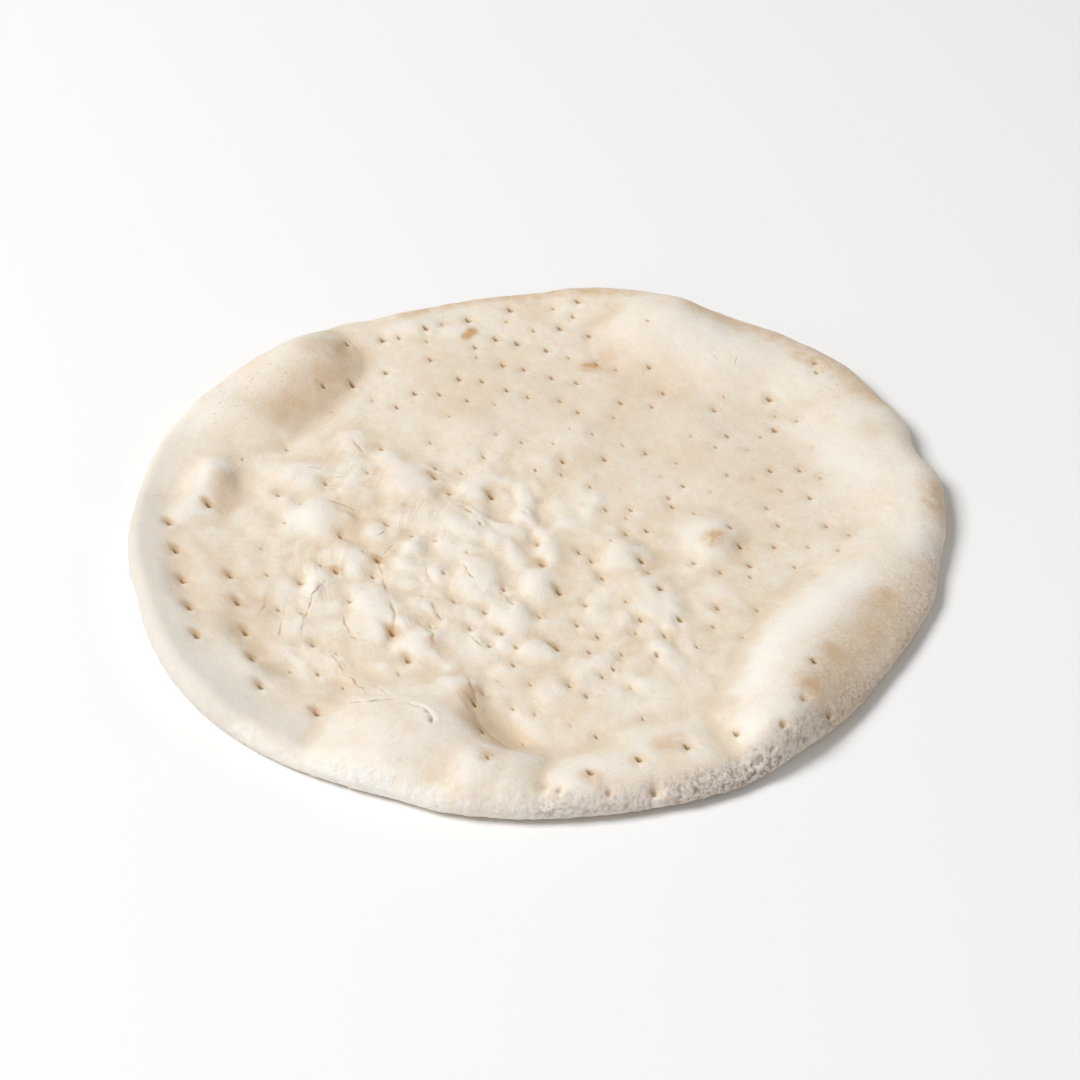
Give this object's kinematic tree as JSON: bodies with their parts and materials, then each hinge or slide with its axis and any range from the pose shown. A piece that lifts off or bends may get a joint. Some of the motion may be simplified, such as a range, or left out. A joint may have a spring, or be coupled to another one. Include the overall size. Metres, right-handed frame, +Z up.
{
  "type": "pizza base",
  "caption": "Round part-baked pizza base of pale dough, thin in the middle, with an uneven puffed rim, blisters and docking pricks, ready for toppings.",
  "frame": {"origin": "middle of the outline seen from above, at the height of the flat underside", "axes": "+Z up out of the top, +X to the right and +Y away from the viewer as pictured"},
  "size_m": [0.2956, 0.2942, 0.0162],
  "materials": {
    "dough": "matte, floury"
  },
  "bodies": {
    "root": {"pizza_base": "dough"}
  },
  "joints": []
}
